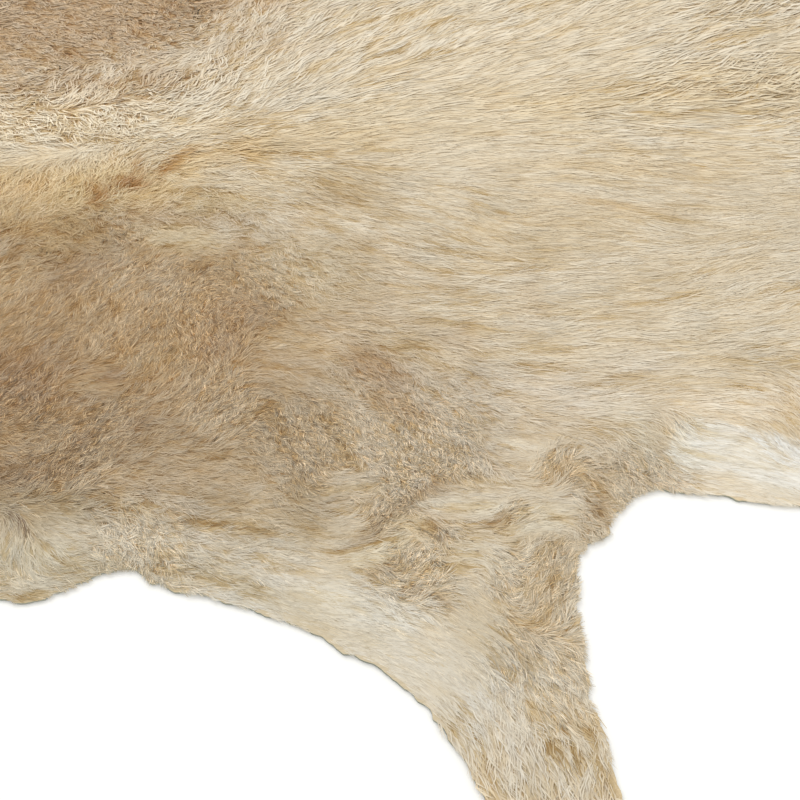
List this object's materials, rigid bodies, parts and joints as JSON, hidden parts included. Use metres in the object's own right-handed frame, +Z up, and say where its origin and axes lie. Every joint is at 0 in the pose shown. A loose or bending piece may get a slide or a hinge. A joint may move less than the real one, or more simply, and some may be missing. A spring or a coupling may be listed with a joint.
{
  "type": "cowhide rug",
  "caption": "Whole hair-on cowhide lying flat as a floor rug, with neck, leg and rump lobes, a ragged rim of hair and a flat leather underside.",
  "frame": {"origin": "on the floor, under the middle of the hide's box", "axes": "+X along the spine from the neck to the tail, +Y across the hide from the near flank to the far one, +Z up"},
  "size_m": [2.2282, 1.987, 0.0138],
  "materials": {
    "hide": "long cream and tan hair lying on the leather, pale suede underside"
  },
  "bodies": {
    "root": {"hide": "hide"}
  },
  "joints": []
}
